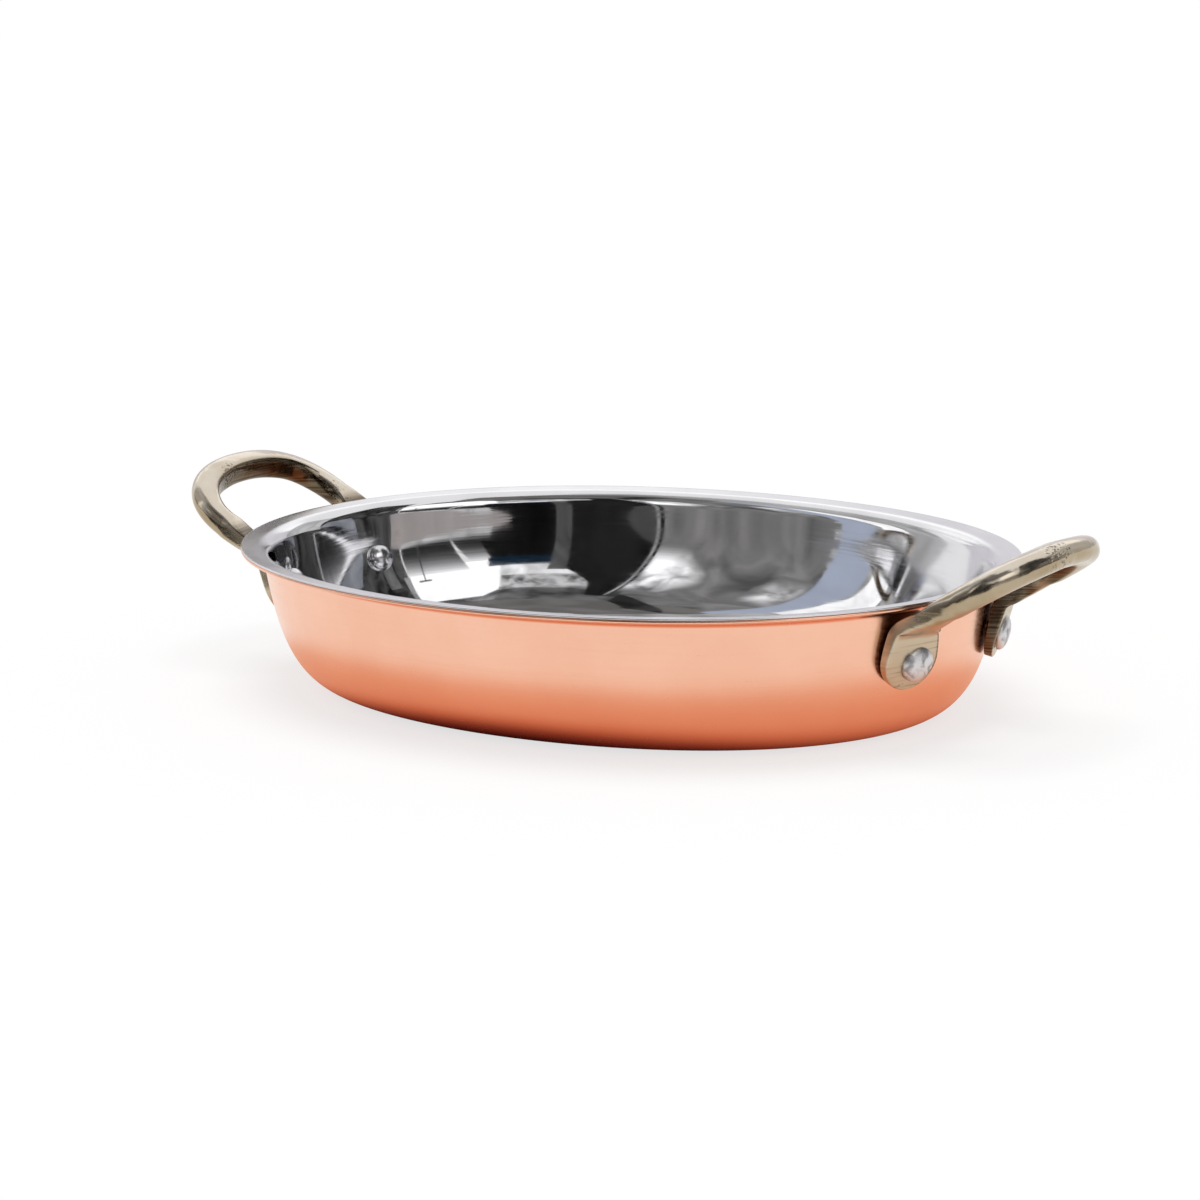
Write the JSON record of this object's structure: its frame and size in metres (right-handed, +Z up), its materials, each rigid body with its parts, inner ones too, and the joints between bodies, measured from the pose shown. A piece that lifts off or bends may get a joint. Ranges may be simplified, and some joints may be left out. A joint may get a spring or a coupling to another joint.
{
  "type": "oval copper pan",
  "caption": "Oval serving pan with a copper shell, a polished steel liner, a narrow flared lip and a riveted brass loop handle at each end, for baking and serving.",
  "frame": {"origin": "middle of the flat base's underside, on the surface that the pan stands on", "axes": "+X lengthways through the right handle, -Y to the front, +Z up"},
  "size_m": [0.225, 0.135, 0.045],
  "materials": {
    "copper": null,
    "polished_steel": "stainless steel sheet polished to a mirror",
    "cast_brass": "pale cast brass, satin, with small casting flaws and file marks",
    "rivet_metal": "grey rivet metal, smooth inside the pan and hammered outside"
  },
  "bodies": {
    "root": {"copper_shell": "copper", "steel_liner": "polished_steel", "handle_right": "cast_brass", "handle_left": "cast_brass", "rivet_right_front": "rivet_metal", "rivet_right_back": "rivet_metal", "rivet_left_back": "rivet_metal", "rivet_left_front": "rivet_metal"}
  },
  "joints": []
}
